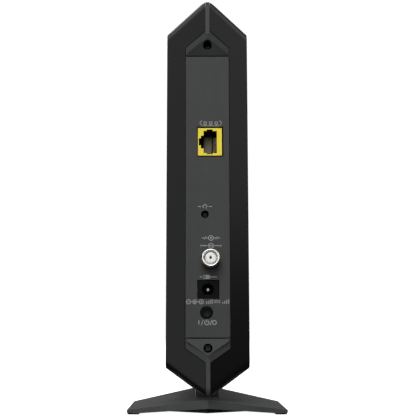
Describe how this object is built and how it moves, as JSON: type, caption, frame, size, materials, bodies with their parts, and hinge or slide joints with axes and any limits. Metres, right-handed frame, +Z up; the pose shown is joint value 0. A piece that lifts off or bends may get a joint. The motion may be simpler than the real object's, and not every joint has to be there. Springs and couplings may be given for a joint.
{
  "type": "cable modem",
  "caption": "Upright cable modem with a bowed hexagonal body, rear port panel and a winged stand, with its boards, ports and switches inside.",
  "frame": {"origin": "on the floor at the middle of the overall box, in the plane between the two side shells; the middle of the stand is 2 mm in front of it, because the coax tip stands out at the back", "axes": "+Z up, +Y towards the connector side, -Y towards the indicator side, +X towards the left side shell"},
  "size_m": [0.088, 0.1282, 0.2225],
  "materials": {
    "shell": "semi-gloss, fine texture",
    "frame": "matt, fine texture",
    "panel": "matt, fine texture",
    "stand": "matt, fine texture",
    "fascia": "gloss",
    "yellow_plastic": "satin",
    "black_plastic": "satin",
    "button": "satin",
    "white_plastic": "satin",
    "nickel": "nickel plated",
    "tinned_steel": "tinned",
    "gold_plated": "gold flash",
    "black_steel": "black oxide",
    "zinc_steel": "zinc plated",
    "circuit_board": "solder mask",
    "chip": "moulded epoxy",
    "heat_sink": "extruded",
    "thermal_pad": "soft",
    "capacitor": "shrink sleeve",
    "ferrite": "sintered",
    "clear_lens": "frosted clear",
    "led": "clear resin",
    "rubber_foot": "matt"
  },
  "bodies": {
    "stand": {"stand": "stand", "stand_foot_1": "rubber_foot", "stand_foot_2": "rubber_foot", "stand_foot_3": "rubber_foot", "stand_foot_4": "rubber_foot"},
    "modem": {"board_screw_1": "zinc_steel", "board_screw_2": "zinc_steel", "board_screw_3": "zinc_steel", "bulk_capacitor_1": "capacitor", "bulk_capacitor_2": "capacitor", "bulk_capacitor_3": "capacitor", "center_frame": "frame", "coax_centre_contact": "gold_plated", "coax_connector_body": "nickel", "coax_insulator": "white_plastic", "crystal": "tinned_steel", "ethernet_jack_housing": "yellow_plastic", "ethernet_jack_insert": "black_plastic", "ethernet_transformer": "chip", "flash_chip": "chip", "front_fascia": "fascia", "heat_sink": "heat_sink", "left_side_shell": "shell", "light_pipe": "clear_lens", "main_circuit_board": "circuit_board", "memory_chip_1": "chip", "memory_chip_2": "chip", "modem_processor": "chip", "port_panel": "panel", "power_inductor_1": "ferrite", "power_inductor_2": "ferrite", "power_jack_housing": "black_plastic", "power_jack_pin": "nickel", "power_switch_body": "black_plastic", "rear_screw_bottom": "black_steel", "rear_screw_top": "black_steel", "reset_switch_body": "black_plastic", "right_side_shell": "shell", "status_led_1": "led", "status_led_2": "led", "status_led_3": "led", "status_led_4": "led", "status_led_5": "led", "thermal_pad": "thermal_pad", "tuner_chip": "chip", "tuner_shield_fence": "tinned_steel", "tuner_shield_lid": "tinned_steel", "voltage_regulator_1": "chip", "voltage_regulator_2": "chip"},
    "power_button": {"power_button_cap": "button", "power_switch_plunger": "white_plastic"},
    "reset_button": {"reset_plunger": "button"},
    "ethernet_contacts": {"ethernet_jack_contacts": "gold_plated"},
    "power_leaf": {"power_jack_leaf": "gold_plated"}
  },
  "joints": [
    {"name": "modem_lift", "type": "slide", "parent": "stand", "child": "modem", "axis": [0, 0, 1], "range_m": [0, 0.03]},
    {"name": "power_button_press", "type": "slide", "parent": "modem", "child": "power_button", "axis": [0, -1, 0], "range_m": [0, 0.0025]},
    {"name": "reset_press", "type": "slide", "parent": "modem", "child": "reset_button", "axis": [0, -1, 0], "range_m": [0, 0.0004]},
    {"name": "ethernet_contacts_flex", "type": "hinge", "parent": "modem", "child": "ethernet_contacts", "pos_m": [-0.00595, 0.052, 0.1455], "axis": [0, 0, 1], "range_deg": [-9, 0]},
    {"name": "power_leaf_flex", "type": "hinge", "parent": "modem", "child": "power_leaf", "pos_m": [-0.0001, 0.0432, 0.06298], "axis": [1, 0, 0], "range_deg": [-3, 0]}
  ]
}
